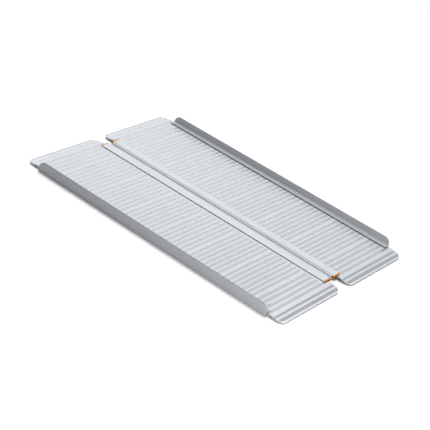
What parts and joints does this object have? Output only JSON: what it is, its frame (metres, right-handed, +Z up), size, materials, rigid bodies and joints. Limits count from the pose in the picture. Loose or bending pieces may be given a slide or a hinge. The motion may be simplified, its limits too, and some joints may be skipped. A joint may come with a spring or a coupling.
{
  "type": "portable wheelchair ramp",
  "caption": "Portable folding wheelchair ramp of ribbed transverse aluminium planks with raised side kerbs, a lengthwise centre hinge and sloping lips at both ends.",
  "frame": {"origin": "centre of the open ramp's footprint, on the surface that it stands on when laid flat", "axes": "+Y along the slope from the lower lip to the upper lip, +X across the ramp to the right going up, +Z up"},
  "size_m": [0.778, 1.1836, 0.0437],
  "materials": {
    "plank_aluminium": "mill-finish extrusion, fine draw lines along the ribs",
    "kerb_aluminium": "satin extrusion",
    "hinge_aluminium": "satin extrusion, drawn along the hinge",
    "cap_plastic": "orange moulded plastic",
    "grip_rubber": "matt black rubber strip",
    "rivet_aluminium": "plain blind rivets"
  },
  "bodies": {
    "left_panel": {"left_deck_plank_1": "plank_aluminium", "left_deck_plank_2": "plank_aluminium", "left_deck_plank_3": "plank_aluminium", "left_deck_plank_4": "plank_aluminium", "left_deck_plank_5": "plank_aluminium", "left_deck_plank_6": "plank_aluminium", "left_lower_lip_plank": "plank_aluminium", "left_upper_lip_plank": "plank_aluminium", "left_kerb": "kerb_aluminium", "left_hinge_leaf": "hinge_aluminium", "left_lower_hinge_cap": "cap_plastic", "left_upper_hinge_cap": "cap_plastic", "left_lower_grip_strip": "grip_rubber", "left_upper_grip_strip": "grip_rubber", "left_kerb_rivets": "rivet_aluminium", "left_hinge_rivets": "rivet_aluminium"},
    "hinge_link": {"hinge_link": "hinge_aluminium"},
    "right_panel": {"right_deck_plank_1": "plank_aluminium", "right_deck_plank_2": "plank_aluminium", "right_deck_plank_3": "plank_aluminium", "right_deck_plank_4": "plank_aluminium", "right_deck_plank_5": "plank_aluminium", "right_deck_plank_6": "plank_aluminium", "right_lower_lip_plank": "plank_aluminium", "right_upper_lip_plank": "plank_aluminium", "right_kerb": "kerb_aluminium", "right_hinge_leaf": "hinge_aluminium", "right_lower_hinge_cap": "cap_plastic", "right_upper_hinge_cap": "cap_plastic", "right_lower_grip_strip": "grip_rubber", "right_upper_grip_strip": "grip_rubber", "right_kerb_rivets": "rivet_aluminium", "right_hinge_rivets": "rivet_aluminium"}
  },
  "joints": [
    {"name": "fold_left", "type": "hinge", "parent": "left_panel", "child": "hinge_link", "pos_m": [-0.0105, 0, 0.0104], "axis": [0, -1, 0], "range_deg": [0, 86]},
    {"name": "fold_right", "type": "hinge", "parent": "hinge_link", "child": "right_panel", "pos_m": [0.0105, 0, 0.0104], "axis": [0, -1, 0], "range_deg": [0, 86]}
  ]
}
